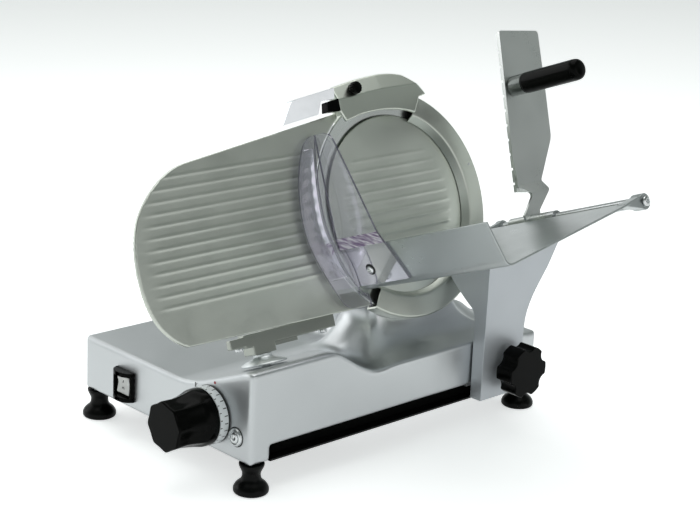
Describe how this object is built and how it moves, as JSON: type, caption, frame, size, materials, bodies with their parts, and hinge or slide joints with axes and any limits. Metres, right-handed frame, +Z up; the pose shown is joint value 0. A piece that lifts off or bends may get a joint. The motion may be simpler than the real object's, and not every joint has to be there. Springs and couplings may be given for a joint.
{
  "type": "gravity feed food slicer",
  "caption": "Electric gravity feed slicer with a tilted round blade, ribbed gauge plate, clear hand guard, sliding product tray and pusher.",
  "frame": {"origin": "middle of the outline on the table the feet stand on", "axes": "+X towards the product tray, +Y away from the thickness knob, +Z up"},
  "size_m": [0.4584, 0.5974, 0.4348],
  "materials": {
    "cast_aluminium": "satin cast",
    "anodised_plate": "satin anodised",
    "bright_aluminium": "turned bright",
    "steel": "fine brushed",
    "chrome": "polished",
    "black_plastic": "moulded, semi-gloss",
    "white_plastic": "moulded",
    "rubber": "moulded",
    "clear_plastic": "clear, faint violet edge",
    "abrasive": "bonded abrasive",
    "black_metal": "satin black"
  },
  "bodies": {
    "root": {"base_casting": "cast_aluminium", "bottom_cover": "black_metal", "foot_front_left": "rubber", "foot_front_right": "rubber", "foot_rear_left": "rubber", "foot_rear_right": "rubber", "switch_frame": "black_plastic", "slide_rod": "steel", "slide_rod_plug": "bright_aluminium", "guide_bar": "steel", "gauge_guide_rod": "steel", "blade_cover": "anodised_plate", "bearing_front": "steel", "bearing_rear": "steel", "drive_belt": "rubber", "motor": "black_metal", "ring_guard": "anodised_plate", "slice_deflector": "steel", "cable_gland": "black_plastic"},
    "rocker": {"switch_rocker": "white_plastic"},
    "thickness": {"thickness_knob": "black_plastic", "dial_ring": "white_plastic", "knob_shaft": "steel"},
    "gauge": {"gauge_slide": "steel", "gauge_post": "bright_aluminium", "gauge_bracket": "cast_aluminium", "gauge_plate": "anodised_plate"},
    "blade_unit": {"blade": "steel", "blade_spindle": "steel", "blade_pulley": "cast_aluminium"},
    "rotor": {"motor_pulley": "steel"},
    "cover_screw": {"cover_knob": "black_plastic", "cover_tie_rod": "steel"},
    "sharpener": {"sharpener_body": "cast_aluminium", "grinding_stone": "abrasive", "deburring_stone": "abrasive", "sharpener_end_cover": "chrome", "sharpener_catch": "black_plastic"},
    "sharpener_screw": {"sharpener_knob": "black_plastic"},
    "carriage": {"carriage_block": "cast_aluminium", "carriage_arm": "cast_aluminium", "product_tray": "anodised_plate", "hand_guard": "clear_plastic", "guard_screw": "chrome", "pusher_rod": "steel", "rod_end_screw": "chrome"},
    "arm_clamp": {"star_knob": "black_plastic"},
    "pusher_stop": {"pusher_collar": "steel"},
    "pusher": {"pusher_arm": "steel", "grip_plate": "steel", "handle_collar": "steel", "pusher_handle": "black_plastic"}
  },
  "joints": [
    {"name": "carriage_slide", "type": "slide", "parent": "root", "child": "carriage", "axis": [0, 1, 0], "range_m": [-0.28, 0.015]},
    {"name": "star_knob_turn", "type": "hinge", "parent": "carriage", "child": "arm_clamp", "pos_m": [0.11078, 0.16228, 0.0715], "axis": [1, 0, 0], "range_deg": [-180, 180]},
    {"name": "pusher_slide", "type": "slide", "parent": "carriage", "child": "pusher_stop", "axis": [0.9323, 0, 0.3616], "range_m": [-0.013, 0.112]},
    {"name": "pusher_swing", "type": "hinge", "parent": "pusher_stop", "child": "pusher", "pos_m": [0.05982, 0.21578, 0.22624], "axis": [0.9323, 0, 0.3616], "range_deg": [0, 65]},
    {"name": "thickness_turn", "type": "hinge", "parent": "root", "child": "thickness", "pos_m": [0.00378, -0.20822, 0.0726], "axis": [0, 1, 0], "range_deg": [0, 300]},
    {"name": "gauge_slide_move", "type": "slide", "parent": "root", "child": "gauge", "axis": [-0.9323, 0, -0.3616], "range_m": [0, 0.0152]},
    {"name": "blade_spin", "type": "hinge", "parent": "root", "child": "blade_unit", "pos_m": [-0.01102, 0.07378, 0.254], "axis": [0.9323, 0, 0.3616], "continuous": true},
    {"name": "motor_spin", "type": "hinge", "parent": "root", "child": "rotor", "pos_m": [-0.02328, 0.07378, 0.14735], "axis": [0.9323, 0, 0.3616], "continuous": true},
    {"name": "cover_screw_turn", "type": "hinge", "parent": "root", "child": "cover_screw", "pos_m": [-0.07628, 0.07378, 0.22869], "axis": [0.9323, 0, 0.3616], "range_deg": [-180, 180]},
    {"name": "sharpener_lift", "type": "slide", "parent": "root", "child": "sharpener", "axis": [-0.3616, 0, 0.9323], "range_m": [0, 0.03]},
    {"name": "sharpener_knob_turn", "type": "hinge", "parent": "sharpener", "child": "sharpener_screw", "pos_m": [-0.04342, 0.02378, 0.38731], "axis": [0.9323, 0, 0.3616], "range_deg": [-180, 180]},
    {"name": "switch_rock", "type": "hinge", "parent": "root", "child": "rocker", "pos_m": [-0.14422, -0.20572, 0.06], "axis": [1, 0, 0], "range_deg": [-6, 6]}
  ],
  "couplings": [
    {"joint": "gauge_slide_move", "follows": "thickness_turn", "m_per_rad": 0.0028648},
    {"joint": "motor_spin", "follows": "blade_spin", "ratio": 5}
  ]
}
